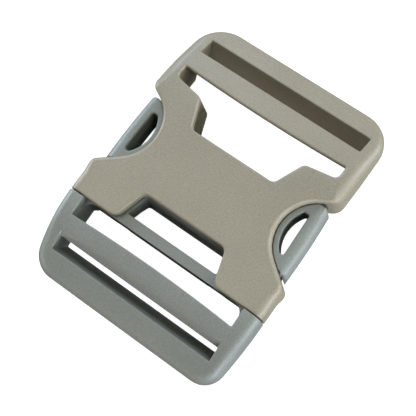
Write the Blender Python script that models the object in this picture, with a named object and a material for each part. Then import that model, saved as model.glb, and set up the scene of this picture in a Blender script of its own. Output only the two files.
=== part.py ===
"""A fastened side release buckle for 50 mm webbing, moulded in two pieces: a socket and a plug.

X runs across the webbing, +Y towards the socket's ladder end and Z up. The buckle lies on z = 0,
and its origin is below the middle of its outline. Lengths are in millimetres until a mesh is made.
"""
import math

import bmesh
import bpy

MM = 0.001

# Overall size. The slots take 50 mm webbing
SLOT_HALF = 25.5
HEIGHT = 14.0
PLATE_LENGTH = 30.15
CLEARANCE = 0.3

# Across the webbing: what lies beside the slots
PLUG_RAIL = 5.05
SOCKET_OPENING_INSET = 0.1
PLUG_OPENING_OUT = 0.1
SOCKET_RAIL_INSET = 0.95

# Upper skin: flat in the middle, then an arc and a straight slope to each end
SOCKET_FLAT_INSET = 1.2
SOCKET_ARC_RADIUS = 48.8
SOCKET_SLOPE = math.radians(23.6)
PLUG_ARC_RADIUS = 33.5
PLUG_SLOPE = math.radians(25.2)

# Lower skin: a shallow arch between the two feet, so that the buckle follows a body
ARCH_RISE = 2.64
PLUG_FOOT_INSET = 3.8
SOCKET_FOOT_INSET = 17.3

# Fillets of the outer skin
SIDE_TOP_FILLET = 3.0
SHOULDER_LOW_FILLET = 4.5
RAIL_LOW_FILLET = 3.0
SOCKET_END_TOP_FILLET = 1.2
SOCKET_END_LOW_FILLET = 2.4
PLUG_END_TOP_FILLET = 2.2
PLUG_END_LOW_FILLET = 3.4
CUTOUT_FILLET = 1.4
JOINT_EDGE = 0.25

# Socket outline
SHOULDER_CORNER = 2.4
SHOULDER_FADE = 3.6
CUTOUT_RADIUS = 11.2
CUTOUT_CENTRE_OUT = 0.45
CUTOUT_BACK_GAP = 0.08
CUTOUT_FRONT_ANGLE = math.radians(37.0)
HOOK_ANGLE = math.radians(26.0)
HOOK_NOSE = 3.5
SOCKET_END_CORNER = 8.6
NOTCH_DEPTH = 9.55
NOTCH_MOUTH_INSET = 0.55
NOTCH_TAPER = 3.0
NOTCH_CORNER = 2.0
MOUTH_CORNER = 2.7
PLATE_RIM = 0.5
MIDDLE_INSET = 3.43
MIDDLE_CORNER = 1.8
BUMP_BACK = 8.45
BUMP_OUT = 3.5
BUMP_CORNER = 2.0
OPENING_LENGTH = 13.74
OPENING_NEAR_CORNER = 1.5
OPENING_FAR_CORNER = 0.4
OPENING_RIM = 0.7
OPENING_SIDE_RISE = 1.57
OPENING_DRAFT = math.radians(2.3)

# Socket cavity, where the plug's arms lie
CAVITY_FLOOR = 5.1
TOP_PLATE = 2.5
SHOULDER_WALL = 2.45
CAVITY_BACK = 3.0
HOLLOW_INSET = 0.4
HOLLOW_LENGTH = 4.9
HOLLOW_CORNER = 1.5

# Ladder ends
SLOT_CORNER = 0.3
SLOT_RIM = 0.35
SOCKET_OUTER_BAR = 5.75
SOCKET_SLOT_WIDTH = 4.86
SOCKET_SLOT_LEAN = math.radians(30.0)
SOCKET_SLOT_DRAFT = math.radians(3.5)
SOCKET_MIDDLE_BAR = 6.1
SOCKET_BAR_BOW = 0.6
PLUG_OUTER_BAR = 6.4
PLUG_SLOT_WIDTH = 3.72
PLUG_SLOT_LEAN = math.radians(19.0)
PLUG_MIDDLE_BAR = 6.3
PLUG_OPENING_LENGTH = 5.58
PLUG_BAR_BOW = 0.75
PLUG_RAIL_RIM = 0.4
PLUG_BAR_CORNER = 0.4
FACET_DROP = 1.0
FACET_RUN = 1.85
FACET_BOW = 0.85
FACET_END_GAP = 0.12
BAR_NOSE_DEPTH = 1.4
BAR_HEEL_HEIGHT = 4.2
BAR_HEEL_WIDTH = 0.9
BAR_END_RECESS = 0.25

# Plug outline, tongue and wings
SIDE_CURVE_RADIUS = 130.0
PLUG_END_CORNER = 6.4
TONGUE_ROOF_GAP = 0.6
BASE_BAR = 3.0
GUSSET_RADIUS = 2.9
GUSSET_DROP = 1.0
RAIL_LEDGE = 0.45
ROOT_LENGTH = 4.75
ARM_WIDTH = 3.5
WING_FLARE = 1.2
WING_TAPER = 0.75
WING_BOW = 0.3
WING_REAR_GAP = 0.64
WING_WEB = 1.7
WING_WEB_HIDDEN = 1.1
WING_TOP_FILLET = 3.6
WING_TIP_FILLET = 2.8
WING_LOW_FILLET = 3.7
WING_TIP_CORNER = 1.5
WING_TIP_LEAD = 0.1
PAD_RISE = 0.7
PAD_DEPTH = 8.7
PAD_INSET = 0.8
BARB_GAP = 0.5
BARB_LIP = 0.03
BARB_RELIEF = 0.25
HOLE_STRIP = 3.75
HOLE_LEAN = 0.45
HOLE_BACK_WIDTH = 1.5
HOLE_FRONT_WIDTH = 1.2
HOLE_CORNER = 0.6
HOLE_RIM = 0.5
GUIDE_INSET = 3.5
GUIDE_BACK_WALL = 2.0
GUIDE_CORNER = 2.0
WINDOW_LENGTH = 6.7
WINDOW_FRONT_WALL = 2.1
WINDOW_BACK_WALL = 3.7
WINDOW_CORNER = 1.0
WINDOW_NEAR_CORNER = 0.4
WINDOW_SLOPE = 1.6
WINDOW_NARROWING = 0.04

# Sizes that follow from those above
SOCKET_LADDER = SOCKET_OUTER_BAR + SOCKET_SLOT_WIDTH + SOCKET_MIDDLE_BAR
SOCKET_LENGTH = PLATE_LENGTH + OPENING_LENGTH + SOCKET_LADDER
PLUG_LENGTH = PLUG_OUTER_BAR + PLUG_SLOT_WIDTH + PLUG_MIDDLE_BAR + PLUG_OPENING_LENGTH
PLUG_OPENING_HALF = SLOT_HALF + PLUG_OPENING_OUT
OPENING_HALF = SLOT_HALF - SOCKET_OPENING_INSET
SHOULDER_HALF = PLUG_OPENING_HALF + PLUG_RAIL
RAIL_HALF = SHOULDER_HALF - SOCKET_RAIL_INSET
CAVITY_HALF = SHOULDER_HALF - SHOULDER_WALL
CAVITY_ROOF = HEIGHT - TOP_PLATE
OPENING_LEAN = math.tan(OPENING_DRAFT) * HEIGHT
TONGUE_BOTTOM = CAVITY_FLOOR + CLEARANCE
TONGUE_TOP = CAVITY_ROOF - TONGUE_ROOF_GAP
PAD_TOP = TONGUE_TOP + PAD_RISE
PAD_BOTTOM = PAD_TOP - PAD_DEPTH
ROOT_HALF = CAVITY_HALF - CLEARANCE

# Places along Y, which is zero in the middle of the whole length
JOINT_Y = (PLUG_LENGTH - SOCKET_LENGTH) / 2
SOCKET_FRONT = JOINT_Y + CLEARANCE / 2
PLUG_BACK = JOINT_Y - CLEARANCE / 2
SOCKET_END = JOINT_Y + SOCKET_LENGTH
PLUG_END = JOINT_Y - PLUG_LENGTH
ARCH_FRONT = PLUG_END + PLUG_FOOT_INSET
ARCH_BACK = SOCKET_END - SOCKET_FOOT_INSET
PLATE_BACK = JOINT_Y + PLATE_LENGTH
CAVITY_END = PLATE_BACK + CAVITY_BACK
WING_BACK = CAVITY_END - WING_REAR_GAP
BASE_BAR_BACK = JOINT_Y + BASE_BAR
WINDOW_BACK = BASE_BAR_BACK + WINDOW_LENGTH

# The finger cut-out, and what lies between the two
CUTOUT_X = SHOULDER_HALF + CUTOUT_CENTRE_OUT
CUTOUT_Y = CAVITY_END - CUTOUT_BACK_GAP - CUTOUT_RADIUS * math.cos(HOOK_ANGLE)
CUTOUT_FRONT_X = CUTOUT_X - CUTOUT_RADIUS * math.sin(CUTOUT_FRONT_ANGLE)
CUTOUT_FRONT_Y = CUTOUT_Y - CUTOUT_RADIUS * math.cos(CUTOUT_FRONT_ANGLE)
HOLE_RADIUS = CUTOUT_RADIUS - WING_WEB
HOLE_OUTER = ROOT_HALF + WING_FLARE - HOLE_STRIP
PAD_RADIUS = HOLE_RADIUS - PAD_INSET
GUIDE_HALF = CUTOUT_X - CUTOUT_RADIUS - GUIDE_INSET
HOLLOW_HALF = GUIDE_HALF - HOLLOW_INSET
NOTCH_MOUTH_HALF = GUIDE_HALF - NOTCH_MOUTH_INSET
NOTCH_BACK_HALF = NOTCH_MOUTH_HALF - NOTCH_TAPER
MIDDLE_BACK_HALF = GUIDE_HALF - MIDDLE_INSET

# Where a bowed bar has its points, as shares of its half length
BOW_SHARES = (0.0, 0.3, 0.6, 0.82)
PRISM_SHARES = (-1, -0.67, -0.33, 0, 0.33, 0.67, 1)

# A rim that crosses the side follows its fillet down to this share of the way out
FILLET_SHARE = 0.97

# Colours, linear, and roughness
TAN = (0.33, 0.31, 0.255)
TAN_ROUGHNESS = 0.45
GREY = (0.24, 0.275, 0.265)
GREY_ROUGHNESS = 0.42

# How far the cutters reach past what they cut
MARGIN = 3.0
ABOVE = HEIGHT + MARGIN
BELOW = -MARGIN


# The two skins

def top_height(y):
    """Height of the upper skin in the middle of the buckle."""
    ends = (
        (y - (PLATE_BACK - SOCKET_FLAT_INSET), SOCKET_ARC_RADIUS, SOCKET_SLOPE),
        (JOINT_Y - y, PLUG_ARC_RADIUS, PLUG_SLOPE),
    )
    for run, radius, slope in ends:
        if run > 0:
            arc_run = min(run, radius * math.sin(slope))
            drop = radius - math.sqrt(radius ** 2 - arc_run ** 2)
            return HEIGHT - drop - (run - arc_run) * math.tan(slope)
    return HEIGHT


def bottom_height(y):
    """Height of the lower skin: zero at the feet and beyond them."""
    middle = (ARCH_FRONT + ARCH_BACK) / 2
    share = min(abs(y - middle) / (ARCH_BACK - middle), 1.0)
    return ARCH_RISE * (1 - share ** 2)


def rounded_top(x, y):
    """The upper skin with its side fillet, for rims that cross the side."""
    over = abs(x) - (SHOULDER_HALF - SIDE_TOP_FILLET)
    over = min(max(over, 0.0), FILLET_SHARE * SIDE_TOP_FILLET)
    return top_height(y) - SIDE_TOP_FILLET + math.sqrt(SIDE_TOP_FILLET ** 2 - over ** 2)


def rounded_bottom(x, y):
    """The lower skin with its side fillet, for rims that cross the side."""
    over = abs(x) - (SHOULDER_HALF - SHOULDER_LOW_FILLET)
    over = min(max(over, 0.0), FILLET_SHARE * SHOULDER_LOW_FILLET)
    return bottom_height(y) + SHOULDER_LOW_FILLET - math.sqrt(SHOULDER_LOW_FILLET ** 2 - over ** 2)


def cutout_front(x):
    """Y of the straight front edge of the finger cut-out."""
    return CUTOUT_FRONT_Y - (x - CUTOUT_FRONT_X) * math.tan(CUTOUT_FRONT_ANGLE)


# Outlines: lists of points (x, y, top fillet, bottom fillet), anticlockwise seen from above

def arc(centre_x, centre_y, radius, start, end, steps, top=0.0, bottom=0.0):
    """Points along a circular arc, angles in radians."""
    points = []
    for step in range(steps + 1):
        angle = start + (end - start) * step / steps
        x = centre_x + radius * math.cos(angle)
        y = centre_y + radius * math.sin(angle)
        points.append((x, y, top, bottom))
    return points


def rounded_path(corners, step_angle=math.radians(15)):
    """Round the corners of an open path. Each corner is (x, y, radius, top fillet, bottom fillet)."""
    points = []
    for index, (x, y, radius, top, bottom) in enumerate(corners):
        if radius == 0 or index in (0, len(corners) - 1):
            points.append((x, y, top, bottom))
            continue
        before, after = corners[index - 1], corners[index + 1]
        in_angle = math.atan2(y - before[1], x - before[0])
        out_angle = math.atan2(after[1] - y, after[0] - x)
        turn = (out_angle - in_angle + math.pi) % (2 * math.pi) - math.pi
        room = min(math.dist((x, y), before[:2]), math.dist((x, y), after[:2])) * 0.95
        reach = min(radius * math.tan(abs(turn) / 2), room)
        radius = reach / math.tan(abs(turn) / 2)
        side = math.copysign(1, turn)
        start_x = x - reach * math.cos(in_angle)
        start_y = y - reach * math.sin(in_angle)
        centre_x = start_x - side * radius * math.sin(in_angle)
        centre_y = start_y + side * radius * math.cos(in_angle)
        start = in_angle - side * math.pi / 2
        steps = max(2, round(abs(turn) / step_angle))
        bend = arc(centre_x, centre_y, radius, start, start + turn, steps)
        for step, point in enumerate(bend):
            share = step / steps
            previous_top, previous_bottom = before[3], before[4]
            points.append((
                point[0], point[1],
                previous_top + (top - previous_top) * share,
                previous_bottom + (bottom - previous_bottom) * share,
            ))
    return points


def divided(points, longest=2.4):
    """Split the edges so that none climbs more than `longest` along Y, because the skins bend that way."""
    result = [points[0]]
    for before, after in zip(points, points[1:]):
        pieces = max(1, math.ceil(abs(after[1] - before[1]) / longest))
        for piece in range(1, pieces + 1):
            share = piece / pieces
            result.append(tuple(a + (b - a) * share for a, b in zip(before, after)))
    return result


def mirrored(right_half):
    """Close a right half, given from front to back, with its mirror image."""
    left_half = [(-x, y, top, bottom) for x, y, top, bottom in reversed(right_half) if abs(x) > 1e-6]
    return right_half + left_half


def flipped(outline):
    """The same closed outline on the other side."""
    return [(-x, y, top, bottom) for x, y, top, bottom in reversed(outline)]


def corner_normals(outline):
    """Inward mitre vector at each point of a closed anticlockwise outline."""
    normals = []
    count = len(outline)
    for index in range(count):
        x, y = outline[index][:2]
        before, after = outline[index - 1], outline[(index + 1) % count]
        first = math.atan2(y - before[1], x - before[0]) + math.pi / 2
        second = math.atan2(after[1] - y, after[0] - x) + math.pi / 2
        sum_x = math.cos(first) + math.cos(second)
        sum_y = math.sin(first) + math.sin(second)
        scale = 2 / max(sum_x ** 2 + sum_y ** 2, 0.8)
        normals.append((sum_x * scale, sum_y * scale))
    return normals


# Solids from outlines

def new_object(name, bm):
    """Make an object from a bmesh whose lengths are in millimetres."""
    bmesh.ops.scale(bm, vec=(MM, MM, MM), verts=bm.verts)
    mesh = bpy.data.meshes.new(name)
    bm.to_mesh(mesh)
    bm.free()
    obj = bpy.data.objects.new(name, mesh)
    bpy.context.scene.collection.objects.link(obj)
    return obj


def join_rings(bm, rings):
    """Join rings of points, given from bottom to top, by quads. Returns the rings of vertices."""
    rows = [[bm.verts.new(point) for point in ring] for ring in rings]
    count = len(rows[0])
    for low, high in zip(rows, rows[1:]):
        for index in range(count):
            following = (index + 1) % count
            bm.faces.new((low[index], low[following], high[following], high[index]))
    return rows


def cap_with_strips(bm, row, upwards):
    """Close a symmetric ring by strips across X, each between points of equal Y."""
    half = len(row) // 2
    for index in range(half - 1):
        face = [row[index], row[index + 1], row[-2 - index], row[-1 - index]]
        bm.faces.new(face if upwards else face[::-1])


def skin_rings(outline, top, bottom, top_steps=5, bottom_steps=4, square_y=None):
    """Rings of a solid between two skins, with the outline's own fillet at each point.

    Points at square_y lie on a flat end, so they are only inset along X.
    """
    normals = corner_normals(outline)
    for index, (x, y, _, _) in enumerate(outline):
        if y == square_y:
            normals[index] = (-math.copysign(1, x), 0.0)
    rings = []
    for is_top, steps in ((False, bottom_steps), (True, top_steps)):
        for step in range(steps + 1):
            angle = math.pi / 2 * (step if is_top else steps - step) / steps
            ring = []
            for (x, y, top_fillet, bottom_fillet), (nx, ny) in zip(outline, normals):
                wall = top(x, y) - bottom(x, y)
                fillet = min(top_fillet if is_top else bottom_fillet, 0.48 * wall)
                inset = fillet * (1 - math.cos(angle))
                px, py = x + nx * inset, y + ny * inset
                drop = fillet * (1 - math.sin(angle))
                ring.append((px, py, top(px, py) - drop if is_top else bottom(px, py) + drop))
            rings.append(ring)
    return rings


def moulded_body(name, right_half, square_y):
    """The outer form of one half, with a flat end at square_y whose edge is slightly round."""
    bm = bmesh.new()
    rings = skin_rings(
        mirrored(right_half), lambda x, y: top_height(y), lambda x, y: bottom_height(y), square_y=square_y,
    )
    rows = join_rings(bm, rings)
    cap_with_strips(bm, rows[0], False)
    cap_with_strips(bm, rows[-1], True)
    end = [face for face in bm.faces if all(abs(vert.co.y - square_y) < 1e-4 for vert in face.verts)]
    flat = bmesh.ops.dissolve_faces(bm, faces=end)["region"][0]
    bmesh.ops.bevel(bm, geom=list(flat.edges), offset=JOINT_EDGE, segments=2, profile=0.5, affect='EDGES')
    return new_object(name, bm)


def slab(name, outline, low, high):
    """A straight prism over an outline."""
    bm = bmesh.new()
    rows = join_rings(bm, [[(x, y, z) for x, y, _, _ in outline] for z in (low, high)])
    bm.faces.new(rows[0][::-1])
    bm.faces.new(rows[-1])
    return new_object(name, bm)


def rim_cutter(name, outline, rim, top=None, bottom=None, lean=0.0, draft=0.0, steps=3):
    """A cutter for an opening from skin to skin that leaves a rounded rim on both.

    The outline lies on the upper skin. lean tips the walls along Y, and draft opens the ends
    towards the bottom, or closes them if it is negative.
    """
    top = top or (lambda x, y: top_height(y))
    bottom = bottom or (lambda x, y: bottom_height(y))
    normals = corner_normals(outline)
    half = max(abs(point[0]) for point in outline)
    round_points = []
    for step in range(steps):
        angle = math.pi / 2 * step / steps
        round_points.append((rim * (1 - math.cos(angle)), rim * (1 - math.sin(angle))))
    last_offset, last_depth = round_points[-1]
    round_points.append((rim + 1.5 * (rim - last_offset), -1.5 * last_depth))

    def placed(offset, depth, is_top):
        ring = []
        for (x, y, _, _), (nx, ny) in zip(outline, normals):
            start_z = top(x, y)
            base_x, base_y = x - nx * offset, y - ny * offset
            px, py = base_x, base_y
            for _ in range(4):
                z = top(px, py) - depth if is_top else bottom(px, py) + depth
                py = base_y + math.tan(lean) * (z - start_z)
                px = base_x * (1 + math.tan(draft) * (start_z - z) / half)
            ring.append((px, py, z))
        return ring

    def flat(ring, z):
        return [(x, y, z) for x, y, _ in ring]

    rings = [placed(offset, depth, False) for offset, depth in reversed(round_points)]
    rings += [placed(offset, depth, True) for offset, depth in round_points]
    rings = [flat(rings[0], BELOW)] + rings + [flat(rings[-1], ABOVE)]
    bm = bmesh.new()
    rows = join_rings(bm, rings)
    bm.faces.new(rows[0][::-1])
    bm.faces.new(rows[-1])
    return new_object(name, bm)


def bar_prism(name, half_length, sections):
    """A cutter along X. sections gives its corners (y, z) for a share of the half length."""
    bm = bmesh.new()
    rows = join_rings(bm, [
        [(share * half_length, y, z) for y, z in sections(share)] for share in PRISM_SHARES
    ])
    bm.faces.new(rows[0][::-1])
    bm.faces.new(rows[-1])
    bmesh.ops.recalc_face_normals(bm, faces=bm.faces)
    return new_object(name, bm)


def boolean(body, tool, operation='DIFFERENCE'):
    """Cut or join with a helper object, which isn't part of the buckle itself."""
    modifier = body.modifiers.new(tool.name, 'BOOLEAN')
    modifier.operation = operation
    modifier.solver = 'EXACT'
    modifier.object = tool
    tool.hide_render = True
    tool.display_type = 'WIRE'


def plastic(name, colour, roughness):
    """Moulded acetal."""
    material = bpy.data.materials.new(name)
    material.use_nodes = True
    shader = material.node_tree.nodes["Principled BSDF"]
    shader.inputs["Base Color"].default_value = (*colour, 1.0)
    shader.inputs["Roughness"].default_value = roughness
    shader.inputs["Metallic"].default_value = 0.0
    return material


# Socket

def socket_outline():
    """Right half of the socket, from ahead of the joint to its rounded end."""
    side = (SIDE_TOP_FILLET, SHOULDER_LOW_FILLET)
    band = (CUTOUT_FILLET, CUTOUT_FILLET)
    fade = (0.9 * SHOULDER_CORNER, 0.9 * SHOULDER_CORNER)
    rail = (SIDE_TOP_FILLET, RAIL_LOW_FILLET)
    end = (SOCKET_END_TOP_FILLET, SOCKET_END_LOW_FILLET)
    corner_y = cutout_front(SHOULDER_HALF)
    cutout = arc(CUTOUT_X, CUTOUT_Y, CUTOUT_RADIUS, 1.5 * math.pi - CUTOUT_FRONT_ANGLE,
                 math.pi / 2 + HOOK_ANGLE, 12, *band)
    last_x, last_y = cutout[-1][:2]
    nose_y = last_y + (RAIL_HALF - last_x) * math.tan(HOOK_ANGLE)
    corners = [
        (SHOULDER_HALF, SOCKET_FRONT - MARGIN, 0, *side),
        (SHOULDER_HALF, corner_y - SHOULDER_FADE, 0, *side),
        (SHOULDER_HALF, corner_y - 0.55 * SHOULDER_CORNER, 0, *fade),
        (SHOULDER_HALF, corner_y, SHOULDER_CORNER, *band),
    ]
    corners += [(x, y, 0, *band) for x, y, _, _ in cutout]
    corners += [
        (RAIL_HALF, nose_y, HOOK_NOSE, *rail),
        (RAIL_HALF, SOCKET_END - SOCKET_END_CORNER - 1.0, 0, *rail),
        (RAIL_HALF, SOCKET_END, SOCKET_END_CORNER, *end),
        (0.0, SOCKET_END, 0, *end),
    ]
    return divided(rounded_path(corners, math.radians(11)))[:-1]


def socket_front_cutter():
    """Cuts the socket's front edge and its notch in one outline, with one rim all along."""
    y = SOCKET_FRONT
    corners = [
        (0.0, y - MARGIN, 0, 0, 0),
        (SHOULDER_HALF + MARGIN, y - MARGIN, 0, 0, 0),
        (SHOULDER_HALF + MARGIN, y, 0, 0, 0),
    ]
    for share in (0.0, 0.1, 0.25, 0.5, 1.0):
        corners.append((SHOULDER_HALF - share * SIDE_TOP_FILLET, y, 0, 0, 0))
    corners.append((SHOULDER_HALF - SHOULDER_LOW_FILLET, y, 0, 0, 0))
    path = rounded_path(corners + [
        (NOTCH_MOUTH_HALF, y, MOUTH_CORNER, 0, 0),
        (NOTCH_BACK_HALF, JOINT_Y + NOTCH_DEPTH, NOTCH_CORNER, 0, 0),
        (0.0, JOINT_Y + NOTCH_DEPTH, 0, 0, 0),
    ])
    return rim_cutter("front_cutter", mirrored(path), PLATE_RIM, rounded_top, rounded_bottom)


def socket_middle_cutter():
    """The open middle between the plates and the ladder."""
    bar_y = SOCKET_END - SOCKET_LADDER
    bump_half = MIDDLE_BACK_HALF + BUMP_OUT
    bump_y = PLATE_BACK + BUMP_BACK
    corners = [
        (0.0, PLATE_BACK, 0, 0, 0),
        (MIDDLE_BACK_HALF, PLATE_BACK, MIDDLE_CORNER, 0, 0),
        (bump_half, bump_y, BUMP_CORNER, 0, 0),
        (OPENING_HALF, bump_y + OPENING_SIDE_RISE, OPENING_NEAR_CORNER, 0, 0),
        (OPENING_HALF, bar_y, OPENING_FAR_CORNER, 0, 0),
    ]
    for share in reversed(BOW_SHARES):
        corners.append((share * OPENING_HALF, bar_y - SOCKET_BAR_BOW * (1 - share ** 2), 0, 0, 0))
    outline = mirrored(divided(rounded_path(corners)))
    return rim_cutter("middle_cutter", outline, OPENING_RIM, draft=-OPENING_DRAFT)


def cavity_cutter():
    """The space between the plates, open to the front, the finger cut-outs and the middle."""
    hollow_end = CAVITY_END + HOLLOW_LENGTH
    corners = [
        (0.0, SOCKET_FRONT - MARGIN, 0, 0, 0),
        (CAVITY_HALF, SOCKET_FRONT - MARGIN, 0, 0, 0),
        (CAVITY_HALF, CUTOUT_FRONT_Y, 0, 0, 0),
        (SHOULDER_HALF + MARGIN, CUTOUT_FRONT_Y, 0, 0, 0),
        (SHOULDER_HALF + MARGIN, CAVITY_END, 0, 0, 0),
        (HOLLOW_HALF, CAVITY_END, HOLLOW_CORNER, 0, 0),
        (HOLLOW_HALF, hollow_end, 0, 0, 0),
        (0.0, hollow_end, 0, 0, 0),
    ]
    return slab("cavity_cutter", mirrored(rounded_path(corners)), CAVITY_FLOOR, CAVITY_ROOF)


def slot_outline(near_y, far_y):
    """A webbing slot, from its front edge to its back edge."""
    corners = [
        (0.0, near_y, 0, 0, 0),
        (SLOT_HALF, near_y, SLOT_CORNER, 0, 0),
        (SLOT_HALF, far_y, SLOT_CORNER, 0, 0),
        (0.0, far_y, 0, 0, 0),
    ]
    return mirrored(rounded_path(corners, math.radians(30)))


def bar_underside(name, half_length, nose_y, bow, heel_y, out):
    """Cuts a ladder's middle bar to a blade: a bowed nose, a slanting underside and a heel at the slot.

    out is 1 where the slot lies towards +Y of the bar, and -1 where it lies towards -Y.
    """
    def section(share):
        nose = nose_y - out * bow * (1 - share ** 2)
        nose_z = top_height(nose) - BAR_NOSE_DEPTH
        return [
            (nose - out * CLEARANCE, BELOW),
            (nose - out * CLEARANCE, nose_z),
            (nose, nose_z),
            (heel_y - out * BAR_HEEL_WIDTH, BAR_HEEL_HEIGHT),
            (heel_y + out * BAR_HEEL_WIDTH, BAR_HEEL_HEIGHT - CLEARANCE),
            (heel_y + out * BAR_HEEL_WIDTH, BELOW),
        ]

    return bar_prism(name, half_length + BAR_END_RECESS, section)


def build_socket():
    """The tan half, with its plates, cut-outs, hooks and ladder."""
    socket = moulded_body("socket", socket_outline(), SOCKET_FRONT - MARGIN)
    boolean(socket, socket_front_cutter())
    boolean(socket, socket_middle_cutter())
    boolean(socket, cavity_cutter())
    far_y = SOCKET_END - SOCKET_OUTER_BAR
    near_y = far_y - SOCKET_SLOT_WIDTH
    slot = rim_cutter("socket_slot_cutter", slot_outline(near_y, far_y), SLOT_RIM,
                      lean=SOCKET_SLOT_LEAN, draft=SOCKET_SLOT_DRAFT)
    boolean(socket, slot)
    nose_y = near_y - SOCKET_MIDDLE_BAR
    heel_y = near_y - math.tan(SOCKET_SLOT_LEAN) * (top_height(near_y) - BAR_HEEL_HEIGHT)
    half = OPENING_HALF - OPENING_LEAN
    boolean(socket, bar_underside("socket_bar_cutter", half, nose_y, SOCKET_BAR_BOW, heel_y, 1))
    socket.data.materials.append(plastic("tan_acetal", TAN, TAN_ROUGHNESS))
    return socket


# Plug

def plug_outline():
    """Right half of the plug's ladder, from its rounded end to beyond the joint."""
    side_x = SHOULDER_HALF - SIDE_CURVE_RADIUS
    corner_y = PLUG_END + PLUG_END_CORNER
    reach = SIDE_CURVE_RADIUS - PLUG_END_CORNER
    rise = PLUG_BACK - corner_y
    corner_x = side_x + math.sqrt(reach ** 2 - rise ** 2)
    meet = -math.asin(rise / reach)
    end = arc(corner_x, corner_y, PLUG_END_CORNER, -math.pi / 2, meet, 8)
    curve = arc(side_x, PLUG_BACK, SIDE_CURVE_RADIUS, meet, 0.0, 7)[1:]
    points = []
    for index, (x, y, _, _) in enumerate(end):
        share = index / (len(end) - 1)
        top = PLUG_END_TOP_FILLET + (SIDE_TOP_FILLET - PLUG_END_TOP_FILLET) * share
        low = PLUG_END_LOW_FILLET + (SHOULDER_LOW_FILLET - PLUG_END_LOW_FILLET) * share
        points.append((x, y, top, low))
    points += [(x, y, SIDE_TOP_FILLET, SHOULDER_LOW_FILLET) for x, y, _, _ in curve]
    return points


def plug_slot_edges():
    """Y of the plug's slot on the upper skin, outer edge first."""
    outer_y = PLUG_END + PLUG_OUTER_BAR
    return outer_y, outer_y + PLUG_SLOT_WIDTH


def plug_opening_cutter():
    """The space between the plug's middle bar and the socket, open towards the joint."""
    bar_y = plug_slot_edges()[1] + PLUG_MIDDLE_BAR
    corners = []
    for share in BOW_SHARES:
        corners.append((share * PLUG_OPENING_HALF, bar_y + PLUG_BAR_BOW * (1 - share ** 2), 0, 0, 0))
    corners += [
        (PLUG_OPENING_HALF, bar_y, PLUG_BAR_CORNER, 0, 0),
        (PLUG_OPENING_HALF, PLUG_BACK + MARGIN, 0, 0, 0),
        (0.0, PLUG_BACK + MARGIN, 0, 0, 0),
    ]
    outline = mirrored(divided(rounded_path(corners)))
    return rim_cutter("plug_opening_cutter", outline, PLUG_RAIL_RIM, draft=-OPENING_DRAFT)


def facet_cutter():
    """The bevel on the middle bar that leads down to the slot, under a slightly bowed ridge."""
    low_y = plug_slot_edges()[1] + math.tan(PLUG_SLOT_LEAN) * FACET_DROP
    low_z = top_height(low_y) - FACET_DROP

    def section(share):
        ridge_y = low_y + FACET_RUN + FACET_BOW * (1 - share ** 2)
        slope = (top_height(ridge_y) - low_z) / (ridge_y - low_y)
        front_y, back_y = low_y - 1.0, ridge_y + 0.8
        return [
            (front_y, low_z - slope * (low_y - front_y)),
            (back_y, low_z + slope * (back_y - low_y)),
            (back_y, ABOVE),
            (front_y, ABOVE),
        ]

    return bar_prism("facet_cutter", SLOT_HALF + FACET_END_GAP, section)


def wing_arc(radius, first_y, last_y, steps):
    """Points of an arc about the finger cut-out's centre, between two heights along Y."""
    first = math.pi - math.asin((first_y - CUTOUT_Y) / radius)
    last = math.pi - math.asin((last_y - CUTOUT_Y) / radius)
    return [point[:2] for point in arc(CUTOUT_X, CUTOUT_Y, radius, first, last, steps)]


def wing_edge(y):
    """X of the wing's outer edge: slightly bowed, and closer in at the tip."""
    front_y = cutout_front(ROOT_HALF + WING_FLARE)
    share = (y - front_y) / (WING_BACK - front_y)
    return ROOT_HALF + WING_FLARE - WING_TAPER * share + 4 * WING_BOW * share * (1 - share)


def tongue_outline():
    """Right half of all that lies in the socket: base bar, guide frame, arm and wing."""
    ledge_x = PLUG_OPENING_HALF - RAIL_LEDGE
    ledge_y = plug_slot_edges()[1] + PLUG_MIDDLE_BAR
    gusset_x = ledge_x - GUSSET_RADIUS
    root_x = PLUG_OPENING_HALF + RAIL_LEDGE
    root_y = JOINT_Y - ROOT_LENGTH
    barb_y = cutout_front(SHOULDER_HALF)
    arm_inner = ROOT_HALF - ARM_WIDTH
    hidden_radius = CUTOUT_RADIUS + WING_WEB_HIDDEN
    inner = wing_arc(hidden_radius, WING_BACK,
                     CUTOUT_Y - math.sqrt(hidden_radius ** 2 - (CUTOUT_X - arm_inner) ** 2), 12)
    corners = [(0.0, JOINT_Y, 0, 0, 0), (gusset_x, JOINT_Y, 0, 0, 0)]
    gusset = arc(gusset_x, JOINT_Y - GUSSET_RADIUS, GUSSET_RADIUS, math.pi / 2, 0.0, 6)[1:]
    corners += [(x, y, 0, 0, 0) for x, y, _, _ in gusset]
    corners += [
        (ledge_x, ledge_y, 0, 0, 0),
        (root_x, ledge_y, 0, 0, 0),
        (root_x, root_y, 0, 0, 0),
        (ROOT_HALF, root_y, 0, 0, 0),
        (ROOT_HALF, barb_y, 0, 0, 0),
        (wing_edge(barb_y), barb_y + 0.3, 0, WING_TOP_FILLET, WING_LOW_FILLET),
    ]
    steps = 7
    for step in range(1, steps + 1):
        y = barb_y + (WING_BACK + MARGIN - barb_y) * step / steps
        top = WING_TOP_FILLET + (WING_TIP_FILLET - WING_TOP_FILLET) * step / steps
        corners.append((wing_edge(y), y, 0, top, WING_LOW_FILLET))
    corners.append((inner[0][0], WING_BACK + MARGIN, 0, 0, 0))
    corners += [(x, y, 0, 0, 0) for x, y in inner]
    corners += [
        (arm_inner, BASE_BAR_BACK, GUIDE_CORNER, 0, 0),
        (GUIDE_HALF, BASE_BAR_BACK, GUIDE_CORNER, 0, 0),
        (GUIDE_HALF, WINDOW_BACK + GUIDE_BACK_WALL, GUIDE_CORNER, 0, 0),
        (0.0, WINDOW_BACK + GUIDE_BACK_WALL, 0, 0, 0),
    ]
    return rounded_path(corners)


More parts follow.
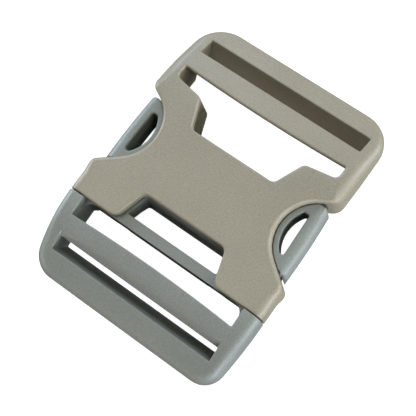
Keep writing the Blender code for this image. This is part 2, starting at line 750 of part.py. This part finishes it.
def wing_hole():
    """The D shaped hole of the right wing: straight outside, round inside, with blunt ends."""
    back_reach = CUTOUT_X - HOLE_OUTER + HOLE_LEAN + HOLE_BACK_WIDTH
    front_reach = CUTOUT_X - HOLE_OUTER + HOLE_FRONT_WIDTH
    back_y = CUTOUT_Y + math.sqrt(HOLE_RADIUS ** 2 - back_reach ** 2)
    front_y = CUTOUT_Y - math.sqrt(HOLE_RADIUS ** 2 - front_reach ** 2)
    start = (HOLE_OUTER - HOLE_LEAN / 2, (front_y + back_y) / 2, 0, 0, 0)
    first, *inner, last = wing_arc(HOLE_RADIUS, back_y, front_y, 9)
    corners = [start, (HOLE_OUTER - HOLE_LEAN, back_y, HOLE_CORNER, 0, 0), (*first, HOLE_CORNER, 0, 0)]
    corners += [(x, y, 0, 0, 0) for x, y in inner]
    corners += [(*last, HOLE_CORNER, 0, 0), (HOLE_OUTER, front_y, HOLE_CORNER, 0, 0), start]
    return rounded_path(corners, math.radians(20))[:-1]


def window_cutter():
    """Cuts the window of the guide frame, whose back and sides slope in towards the bottom."""
    corners = [
        (0.0, BASE_BAR_BACK, 0, 0, 0),
        (GUIDE_HALF - WINDOW_FRONT_WALL, BASE_BAR_BACK, WINDOW_NEAR_CORNER, 0, 0),
        (GUIDE_HALF - WINDOW_BACK_WALL, WINDOW_BACK, WINDOW_CORNER, 0, 0),
        (0.0, WINDOW_BACK, 0, 0, 0),
    ]
    high, low = [], []
    for x, y, _, _ in mirrored(rounded_path(corners)):
        share = (y - BASE_BAR_BACK) / WINDOW_LENGTH
        high.append((x, y))
        low.append((x * (1 - WINDOW_NARROWING * share), y - WINDOW_SLOPE * share))
    levels = ((BELOW, low), (TONGUE_BOTTOM, low), (TONGUE_TOP, high), (ABOVE, high))
    bm = bmesh.new()
    rows = join_rings(bm, [[(x, y, z) for x, y in outline] for z, outline in levels])
    bm.faces.new(rows[0][::-1])
    bm.faces.new(rows[-1])
    return new_object("window_cutter", bm)


def roof_cutter():
    """Takes the upper level away but for the finger pads, which rise inside the cut-outs."""
    far_x = SHOULDER_HALF + MARGIN
    gap = (BARB_GAP - BARB_LIP) / math.cos(CUTOUT_FRONT_ANGLE)
    pad = arc(CUTOUT_X, CUTOUT_Y, CUTOUT_RADIUS - CLEARANCE, 1.5 * math.pi - CUTOUT_FRONT_ANGLE,
              math.pi / 2 + HOOK_ANGLE, 16)
    path = [
        (0.0, PLUG_END, 0, 0),
        (far_x, PLUG_END, 0, 0),
        (far_x, cutout_front(far_x) + gap, 0, 0),
        *pad,
        (far_x, CAVITY_END + MARGIN, 0, 0),
        (far_x, SOCKET_END, 0, 0),
        (0.0, SOCKET_END, 0, 0),
    ]
    return slab("roof_cutter", mirrored(path), TONGUE_TOP, ABOVE)


def relief_cutter():
    """Takes the lower level away but for finger pads, gussets and the middle of the base bar."""
    far_x = SHOULDER_HALF + MARGIN
    gusset_x = PLUG_OPENING_HALF - RAIL_LEDGE - GUSSET_RADIUS
    reach = math.asin((far_x - CUTOUT_X) / PAD_RADIUS)
    pad = arc(CUTOUT_X, CUTOUT_Y, PAD_RADIUS, 1.5 * math.pi + reach, math.pi / 2 - reach, 16)
    path = [
        (0.0, BASE_BAR_BACK, 0, 0),
        (NOTCH_BACK_HALF, BASE_BAR_BACK, 0, 0),
        (NOTCH_BACK_HALF, PLUG_END, 0, 0),
        (gusset_x, PLUG_END, 0, 0),
        (gusset_x, PLUG_BACK, 0, 0),
        (far_x, PLUG_BACK, 0, 0),
        *pad,
        (far_x, SOCKET_END, 0, 0),
        (0.0, SOCKET_END, 0, 0),
    ]
    return slab("relief_cutter", mirrored(path), BELOW, TONGUE_BOTTOM)


def gusset_cutter():
    """Leaves the gussets and the middle of the base bar only a little deeper than the rest."""
    far_x = SHOULDER_HALF + MARGIN
    back_y = (BASE_BAR_BACK + WINDOW_BACK) / 2
    path = [(-far_x, PLUG_END), (far_x, PLUG_END), (far_x, back_y), (-far_x, back_y)]
    return slab("gusset_cutter", [(x, y, 0, 0) for x, y in path], BELOW, TONGUE_BOTTOM - GUSSET_DROP)


def barb_cutter():
    """Ends the right wing in a barb, parallel to the front edge of the cut-out."""
    gap = BARB_GAP / math.cos(CUTOUT_FRONT_ANGLE)
    inner_x = ROOT_HALF - BARB_RELIEF
    far_x = SHOULDER_HALF + MARGIN
    return [
        (inner_x, cutout_front(inner_x) + gap, 0, 0),
        (ROOT_HALF + BARB_RELIEF, cutout_front(far_x), 0, 0),
        (far_x, cutout_front(far_x) - MARGIN, 0, 0),
        (far_x, cutout_front(far_x) + gap, 0, 0),
    ]


def tip_cutter():
    """Rounds the right wing's tip as seen from above, with its edge fillet left as it is."""
    radius = WING_TIP_CORNER
    far_x = SHOULDER_HALF + MARGIN
    centre_x = wing_edge(WING_BACK) - radius + WING_TIP_LEAD
    centre_y = WING_BACK - radius
    return [
        (far_x, centre_y, 0, 0),
        (far_x, WING_BACK + 2 * MARGIN, 0, 0),
        (HOLLOW_HALF, WING_BACK + 2 * MARGIN, 0, 0),
        (HOLLOW_HALF, WING_BACK, 0, 0),
        *arc(centre_x, centre_y, radius, math.pi / 2, 0.0, 6),
    ]


def build_tongue():
    """The flat sprung part: one level from base bar to wing tips, and a deeper pad at each wing."""
    def top(_x, _y):
        return PAD_TOP

    def bottom(_x, _y):
        return PAD_BOTTOM

    bm = bmesh.new()
    rows = join_rings(bm, skin_rings(mirrored(tongue_outline()), top, bottom, 4, 4))
    bm.faces.new(rows[0][::-1])
    bm.faces.new(rows[-1])
    tongue = new_object("tongue_shape", bm)
    boolean(tongue, window_cutter())
    for side, turn in (("right", list), ("left", flipped)):
        boolean(tongue, rim_cutter(side + "_hole_cutter", turn(wing_hole()), HOLE_RIM, top, bottom))
        boolean(tongue, slab(side + "_barb_cutter", turn(barb_cutter()), BELOW, ABOVE))
        boolean(tongue, slab(side + "_tip_cutter", turn(tip_cutter()), BELOW, ABOVE))
    boolean(tongue, roof_cutter())
    boolean(tongue, relief_cutter())
    boolean(tongue, gusset_cutter())
    return tongue


def build_plug():
    """The grey half: its ladder end joined to the tongue."""
    plug = moulded_body("plug", plug_outline(), PLUG_BACK)
    outer_y, inner_y = plug_slot_edges()
    boolean(plug, plug_opening_cutter())
    slot = rim_cutter("plug_slot_cutter", slot_outline(outer_y, inner_y), SLOT_RIM, lean=-PLUG_SLOT_LEAN)
    boolean(plug, slot)
    boolean(plug, facet_cutter())
    heel_y = inner_y + math.tan(PLUG_SLOT_LEAN) * (top_height(inner_y) - BAR_HEEL_HEIGHT)
    nose_y = inner_y + PLUG_MIDDLE_BAR
    half = PLUG_OPENING_HALF - OPENING_LEAN
    boolean(plug, bar_underside("plug_bar_cutter", half, nose_y, PLUG_BAR_BOW, heel_y, -1))
    boolean(plug, build_tongue(), 'UNION')
    plug.data.materials.append(plastic("grey_acetal", GREY, GREY_ROUGHNESS))
    return plug


def finish(obj):
    """Smooth the rounds and keep the true edges crisp."""
    mesh = obj.data
    mesh.shade_smooth()
    mesh.set_sharp_from_angle(angle=math.radians(30))


def main():
    """Build the buckle in an empty scene."""
    for obj in list(bpy.data.objects):
        bpy.data.objects.remove(obj)
    for build in (build_socket, build_plug):
        finish(build())


main()
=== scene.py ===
# %% [markdown]
# # A fastened side release buckle
#
# The buckle is moulded in two pieces of acetal, a hard and slightly waxy plastic. The tan socket
# has a finger cut-out on each side and a ladder end, and the grey plug slides into it with two
# sprung wings. This lesson dresses the two exact solids of the buckle: it shades their flats, their
# fillets and their edges, gives them a fine spark eroded grain, and lights them like a small
# studio shot. The shape itself isn't changed.

# %% Load the buckle's solids
import math

import bmesh
import bpy
from mathutils import Matrix, Vector


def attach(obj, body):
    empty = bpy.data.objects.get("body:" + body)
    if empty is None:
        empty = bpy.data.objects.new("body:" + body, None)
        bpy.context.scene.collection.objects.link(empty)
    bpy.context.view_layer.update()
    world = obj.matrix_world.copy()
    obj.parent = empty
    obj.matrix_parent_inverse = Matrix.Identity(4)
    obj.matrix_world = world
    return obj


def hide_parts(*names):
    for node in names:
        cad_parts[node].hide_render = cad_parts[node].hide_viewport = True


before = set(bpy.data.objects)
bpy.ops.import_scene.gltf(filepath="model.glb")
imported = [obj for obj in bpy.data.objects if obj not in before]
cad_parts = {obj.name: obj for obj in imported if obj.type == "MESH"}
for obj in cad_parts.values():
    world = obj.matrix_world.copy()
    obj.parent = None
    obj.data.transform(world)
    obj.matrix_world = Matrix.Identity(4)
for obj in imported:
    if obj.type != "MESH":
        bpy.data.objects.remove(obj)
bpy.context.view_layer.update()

MM = 0.001


# %% [markdown]
# ## The camera
#
# The photograph looks down on the buckle from about 72 degrees above the table, turned so that the
# webbing would run from the lower left to the upper right. The camera's three axes were fitted to
# the buckle's outline, so they are given as directions and not as angles. The lens is a long one,
# and stands 30 cm away, which keeps the two long sides nearly parallel.

# %% Place the camera
SENSOR = 36.0
PHOTO_SIDE = 416
FOCAL_PIXELS = 1141.04
CAMERA_PLACE = Vector((81.59, -41.19, 288.16)) * MM
CAMERA_RIGHT = Vector((0.79710, 0.58535, -0.14832)).normalized()
CAMERA_DOWN = Vector((0.53879, -0.80034, -0.26299)).normalized()
CAMERA_AHEAD = Vector((-0.27264, 0.12972, -0.95333)).normalized()

camera_data = bpy.data.cameras.new("photo_camera")
camera_data.sensor_width = SENSOR
camera_data.lens = FOCAL_PIXELS / PHOTO_SIDE * SENSOR
camera = bpy.data.objects.new("photo_camera", camera_data)
bpy.context.scene.collection.objects.link(camera)
turn = Matrix((CAMERA_RIGHT, -CAMERA_DOWN, -CAMERA_AHEAD)).transposed().to_4x4()
camera.matrix_world = Matrix.Translation(CAMERA_PLACE) @ turn
bpy.context.scene.camera = camera
print("lens", round(camera_data.lens, 1), "mm")

# %% [markdown]
# ## From loose triangles to a moulding
#
# A loaded solid is a heap of loose triangles. A copy of it is merged at its corners, and the
# triangles that lie in one plane are joined into one face. Only then can Blender tell a real
# edge of the moulding from a line that merely divides a flat. MERGE is the distance within which
# two corners are one, and FLAT_ANGLE is the bend up to which two faces are one flat.

# %% Helpers for a moulding
MERGE = 0.0005 * MM
FLAT_ANGLE = math.radians(0.3)


def only(piece):
    """Select one object alone, and make it the active one."""
    bpy.ops.object.select_all(action='DESELECT')
    piece.select_set(True)
    bpy.context.view_layer.objects.active = piece


def moulding(name, node):
    """A merged copy of a solid, with its flats joined into single faces."""
    piece = bpy.data.objects.new(name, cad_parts[node].data.copy())
    piece.data.name = name
    bpy.context.scene.collection.objects.link(piece)
    only(piece)
    bpy.ops.object.mode_set(mode='EDIT')
    bpy.ops.mesh.select_mode(type='VERT')
    bpy.ops.mesh.select_all(action='SELECT')
    bpy.ops.mesh.remove_doubles(threshold=MERGE)
    bpy.ops.mesh.dissolve_limited(angle_limit=FLAT_ANGLE)
    bpy.ops.object.mode_set(mode='OBJECT')
    print(name, len(piece.data.vertices), "points", len(piece.data.polygons), "faces")
    return piece


# %% Copy the two solids
socket = moulding("tan_socket", "socket")
plug = moulding("grey_plug", "plug")

# %% [markdown]
# ## The ridge on the plug's middle bar
#
# The webbing is pulled up over the middle bar of the plug, and a flat facet leads it down into the
# slot. The ridge between the bar's top and this facet is a shallow edge of only 20 to 28 degrees,
# less than the steps of some fillets, so that no angle limit for the whole plug can find it. It is
# selected by its place on the bar, where it is the only edge above RIDGE_ANGLE, and marked sharp.

# %% Mark the ridge
RIDGE_BACK = -29.3 * MM
RIDGE_FRONT = -27.8 * MM
RIDGE_LOW = 12.5 * MM
RIDGE_ANGLE = math.radians(14)


def mark_ridge(piece):
    """Mark the shallow edge between the middle bar's top and its facet."""
    only(piece)
    bpy.ops.object.mode_set(mode='EDIT')
    bpy.ops.mesh.select_mode(type='EDGE')
    bpy.ops.mesh.select_all(action='DESELECT')
    mesh = bmesh.from_edit_mesh(piece.data)
    ridge = []
    for edge in mesh.edges:
        middle = (edge.verts[0].co + edge.verts[1].co) / 2
        on_bar = RIDGE_BACK < middle.y < RIDGE_FRONT and middle.z > RIDGE_LOW
        if on_bar and edge.is_manifold and edge.calc_face_angle() > RIDGE_ANGLE:
            edge.select_set(True)
            ridge.append(edge.calc_length())
    bmesh.update_edit_mesh(piece.data)
    bpy.ops.mesh.mark_sharp()
    bpy.ops.object.mode_set(mode='OBJECT')
    print("ridge of", len(ridge), "edges,", round(sum(ridge) / MM, 1), "mm long")


mark_ridge(plug)

# %% [markdown]
# ## Flats and rounds
#
# The fillets of the moulding are strips of narrow faces, and the flats are single large ones.
# Shading is smoothed over every edge up to 40 degrees, which takes in the steps of the fillets,
# except at the ridge. Weighted normals then let the large faces decide, so that the flats stay
# flat up to their edges and the fillets take up all of the turn.

# %% Shade the two mouldings
SMOOTH = math.radians(40)
LARGE_FACES_DECIDE = 100


def shade(piece):
    """Smooth the fillets and keep the flats flat."""
    only(piece)
    bpy.ops.object.shade_smooth_by_angle(angle=SMOOTH, keep_sharp_edges=True)
    weighted = piece.modifiers.new("flats_stay_flat", 'WEIGHTED_NORMAL')
    weighted.keep_sharp = True
    weighted.weight = LARGE_FACES_DECIDE
    bpy.ops.object.modifier_apply(modifier=weighted.name)
    sharp = sum(edge.use_edge_sharp for edge in piece.data.edges)
    print(piece.name, sharp, "sharp edges of", len(piece.data.edges))


shade(socket)
shade(plug)

# %% [markdown]
# ## Acetal
#
# The plastic is coloured all through. Its mould was spark eroded, which leaves a very fine grain
# that scatters the light: the colour seems to speckle a little, and the gloss is broken up. A
# second, much larger noise makes the faint clouds that pigment leaves in a moulding.
#
# No moulded edge is perfectly sharp either. The real ones have a radius of a tenth of a millimetre
# or two, which catches the light as a thin bright line. A Bevel node gives the shading of such a
# radius; the solids keep their exact edges, some of which are too short to cut a radius on.

# %% Mix the two plastics
TAN = (0.2665, 0.238, 0.1715)
GREY = (0.197, 0.210, 0.188)
GRAIN_SIZE = 0.34 * MM
GRAIN_OCTAVES = 3.0
GRAIN_ROUGHNESS = 0.6
CLOUD_SIZE = 14 * MM
CLOUD_OCTAVES = 2.0
CLOUD_ROUGHNESS = 0.5
NOISE_LOW = 0.3
NOISE_HIGH = 0.7
SPECKLE = 0.2
CLOUDS = 0.035
GLOSS = 0.45
GLOSS_SPREAD = 0.06
GRAIN_DEPTH = 0.02 * MM
GRAIN_STRENGTH = 0.5
EDGE_RADIUS = 0.2 * MM
EDGE_RAYS = 8


def preset(tree, kind, **values):
    """A new node with its input values set."""
    node = tree.nodes.new(kind)
    for name, value in values.items():
        node.inputs[name.replace("_", " ")].default_value = value
    return node


def around(tree, noise, middle, spread):
    """A noise stretched to the values within a spread of the middle."""
    stretch = preset(tree, 'ShaderNodeMapRange', From_Min=NOISE_LOW, From_Max=NOISE_HIGH,
                     To_Min=middle - spread, To_Max=middle + spread)
    tree.links.new(noise.outputs["Fac"], stretch.inputs["Value"])
    return stretch.outputs["Result"]


def acetal(name, colour):
    """A fine grained, slightly cloudy plastic."""
    material = bpy.data.materials.new(name)
    material.use_nodes = True
    tree = material.node_tree
    link = tree.links.new
    shader = tree.nodes["Principled BSDF"]
    place = tree.nodes.new('ShaderNodeTexCoord')

    grain = preset(tree, 'ShaderNodeTexNoise', Scale=1 / GRAIN_SIZE,
                   Detail=GRAIN_OCTAVES, Roughness=GRAIN_ROUGHNESS)
    clouds = preset(tree, 'ShaderNodeTexNoise', Scale=1 / CLOUD_SIZE,
                    Detail=CLOUD_OCTAVES, Roughness=CLOUD_ROUGHNESS)
    link(place.outputs["Object"], grain.inputs["Vector"])
    link(place.outputs["Object"], clouds.inputs["Vector"])

    both = tree.nodes.new('ShaderNodeMath')
    both.operation = 'MULTIPLY'
    link(around(tree, grain, 1, SPECKLE), both.inputs[0])
    link(around(tree, clouds, 1, CLOUDS), both.inputs[1])
    tint = tree.nodes.new('ShaderNodeVectorMath')
    tint.operation = 'SCALE'
    tint.inputs[0].default_value = colour
    link(both.outputs[0], tint.inputs["Scale"])
    link(tint.outputs[0], shader.inputs["Base Color"])
    link(around(tree, grain, GLOSS, GLOSS_SPREAD), shader.inputs["Roughness"])

    edge = preset(tree, 'ShaderNodeBevel', Radius=EDGE_RADIUS)
    edge.samples = EDGE_RAYS
    bump = preset(tree, 'ShaderNodeBump', Strength=GRAIN_STRENGTH, Distance=GRAIN_DEPTH)
    link(edge.outputs["Normal"], bump.inputs["Normal"])
    link(grain.outputs["Fac"], bump.inputs["Height"])
    link(bump.outputs["Normal"], shader.inputs["Normal"])
    return material


tan_acetal = acetal("tan_acetal_moulded", TAN)
grey_acetal = acetal("grey_acetal_moulded", GREY)
print(tan_acetal.name, "and", grey_acetal.name)

# %% [markdown]
# ## Dress the solids
#
# Each copy takes its plastic and stands in for its solid. The buckle stays fastened, so both pieces
# belong to its one body.

# %% Put the plastic on
for piece, material, node, slot in (
        (socket, tan_acetal, "socket", "tan_acetal"),
        (plug, grey_acetal, "plug", "grey_acetal")):
    piece.data.materials.clear()
    piece.data.materials.append(material)
    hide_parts(node)
    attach(piece, "root")
    print(piece.name, "takes", material.name)

# %% [markdown]
# ## The floor
#
# The photograph's ground is pure white with no shadow, as over a light table. The floor therefore
# glows, and adds only a little of the light that falls on it, so that a shadow stays faint. The
# buckle doesn't see it: a glowing floor would otherwise light it from below and wash out its dark
# inner walls.

# %% Lay the floor
FLOOR_SIDE = 8.0
FLOOR_GLOW = 0.98
FLOOR_TONE = 0.3
FLOOR_ROUGHNESS = 0.9
WHITE = (1, 1, 1, 1)

bpy.ops.object.select_all(action='DESELECT')
bpy.ops.mesh.primitive_plane_add(size=FLOOR_SIDE, location=(0, 0, 0))
floor = bpy.context.active_object
floor.name = "studio_floor"
paper = bpy.data.materials.new("lit_paper")
paper.use_nodes = True
paper_shader = paper.node_tree.nodes["Principled BSDF"]
paper_shader.inputs["Base Color"].default_value = (FLOOR_TONE, FLOOR_TONE, FLOOR_TONE, 1)
paper_shader.inputs["Roughness"].default_value = FLOOR_ROUGHNESS
paper_shader.inputs["Emission Color"].default_value = WHITE
paper_shader.inputs["Emission Strength"].default_value = FLOOR_GLOW
floor.data.materials.append(paper)
floor.visible_diffuse = False
floor.visible_glossy = False
floor.visible_shadow = False
print(floor.name, FLOOR_SIDE, "m wide")

# %% [markdown]
# ## The light
#
# Soft boxes stand all round the table, most of them low: the sides of the buckle and their round
# edges are brighter than its flat top, and walls that face straight to the front or the back get
# the least light. A sun lamp with a wide angle is such a box, far away. Each box is given by its
# name, its azimuth from +X towards +Y and its height above the table in degrees, and its light in
# red, green and blue. The box at the left back is the coolest, which shows on the left fillets.
#
# Where the view passes over the edge of the floor, it meets a white world. Like the floor, the
# world is seen by the camera and gives the buckle no light.

# %% Light the studio
BOX_ANGLE = math.radians(30)
LIGHT_LEVEL = 1.05
WORLD_GLOW = 1.0
SOFT_BOXES = {
    "right": (0, 5, (0.609, 0.622, 0.652)),
    "right_back": (45, 5, (0.582, 0.628, 0.730)),
    "right_front": (315, 5, (0.644, 0.712, 0.841)),
    "left": (180, 5, (0.536, 0.598, 0.651)),
    "left_back": (135, 25, (0.456, 0.570, 0.741)),
    "left_front": (225, 5, (0.278, 0.266, 0.256)),
    "back": (90, 25, (0.116, 0.083, 0.077)),
    "front": (270, 5, (0.128, 0.083, 0.032)),
    "high_right": (45, 50, (0.214, 0.239, 0.194)),
    "overhead": (180, 72, (0.314, 0.301, 0.290)),
}


def soft_box(name, azimuth, elevation, light):
    """A wide sun lamp that shines on the buckle from the given side and height."""
    lamp = bpy.data.lights.new(name, 'SUN')
    lamp.angle = BOX_ANGLE
    strength = max(light) * LIGHT_LEVEL
    lamp.color = [part / max(light) for part in light]
    lamp.energy = math.pi * strength
    box = bpy.data.objects.new(name, lamp)
    bpy.context.scene.collection.objects.link(box)
    turn = math.radians(azimuth)
    rise = math.radians(elevation)
    level = math.cos(rise)
    towards = Vector((math.cos(turn) * level, math.sin(turn) * level, math.sin(rise)))
    box.rotation_euler = towards.to_track_quat('Z', 'Y').to_euler()


for name, (azimuth, elevation, light) in SOFT_BOXES.items():
    soft_box(name, azimuth, elevation, light)

world = bpy.data.worlds.new("studio")
world.use_nodes = True
background = world.node_tree.nodes["Background"]
background.inputs["Color"].default_value = WHITE
background.inputs["Strength"].default_value = WORLD_GLOW
world.cycles_visibility.diffuse = False
world.cycles_visibility.glossy = False
world.cycles_visibility.transmission = False
world.cycles_visibility.scatter = False
bpy.context.scene.world = world
bpy.context.scene.view_settings.view_transform = 'Standard'
print(len(SOFT_BOXES), "soft boxes")
